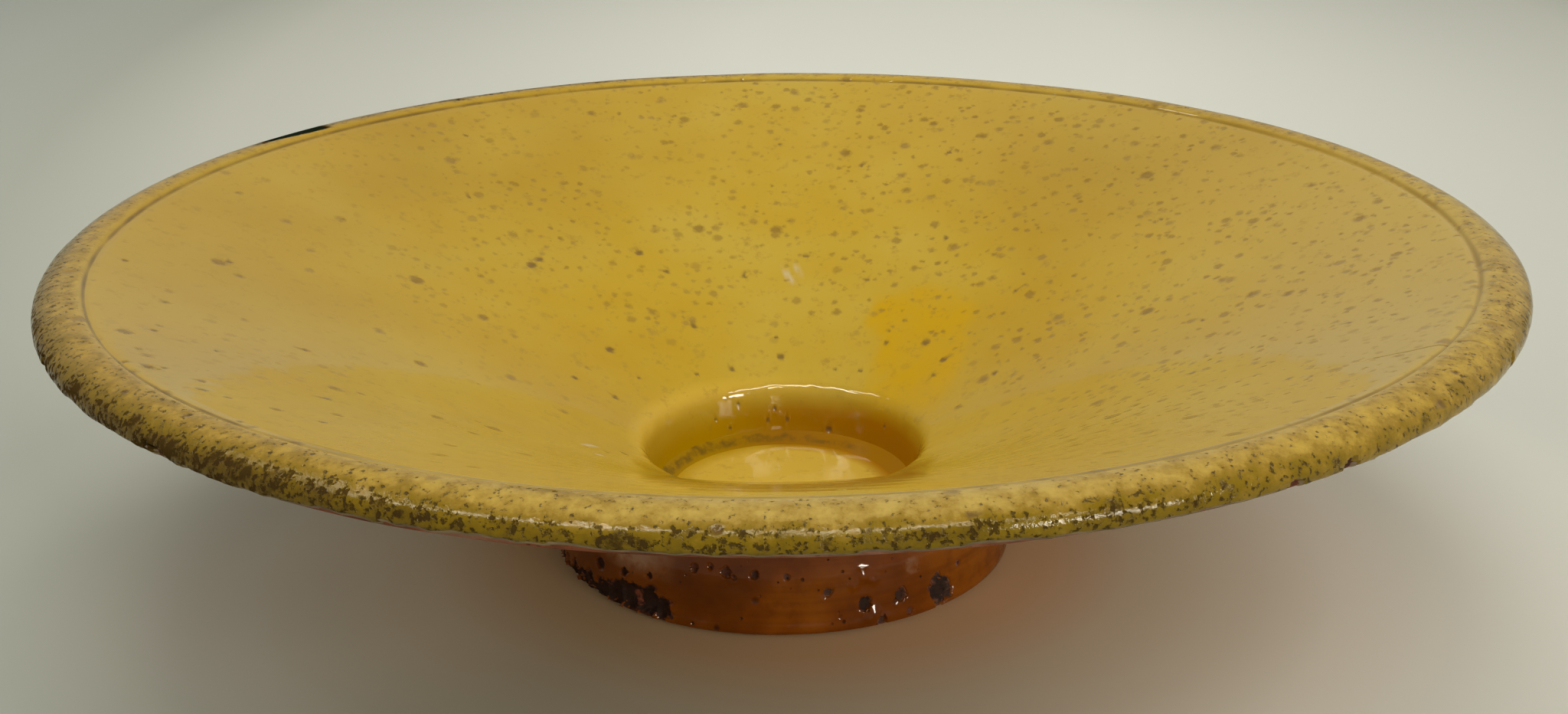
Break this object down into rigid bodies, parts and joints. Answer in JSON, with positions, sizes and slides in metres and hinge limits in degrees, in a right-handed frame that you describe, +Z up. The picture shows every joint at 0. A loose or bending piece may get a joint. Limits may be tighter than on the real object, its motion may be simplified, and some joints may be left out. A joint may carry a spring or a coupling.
{
  "type": "omelette turner",
  "caption": "Glazed earthenware omelette turner: a wide flared dish with a rolled rim and a small central well, on a short round foot that is held as the grip.",
  "frame": {"origin": "centre of the foot's standing face, on the table", "axes": "+Z up along the axis that the dish was thrown on; +X to the right and -Y towards the viewer of the picture; the dish is round, so +X and +Y only fix where the wear lies"},
  "size_m": [0.28, 0.28, 0.068],
  "materials": {
    "red_earthenware": "bare fired clay, matt",
    "pale_slip": "fine cream slip, satin where bare",
    "yellow_lead_glaze": "glossy, speckled and pitted",
    "amber_lead_glaze": "glossy, chipped",
    "pooled_glaze": "glossy, dark where thick"
  },
  "bodies": {
    "root": {"foot_ring": "red_earthenware", "well_floor": "red_earthenware", "flared_wall": "red_earthenware", "rolled_rim": "red_earthenware", "slip_coat": "pale_slip", "yellow_glaze": "yellow_lead_glaze", "foot_glaze": "amber_lead_glaze", "glaze_pool": "pooled_glaze"}
  },
  "joints": []
}
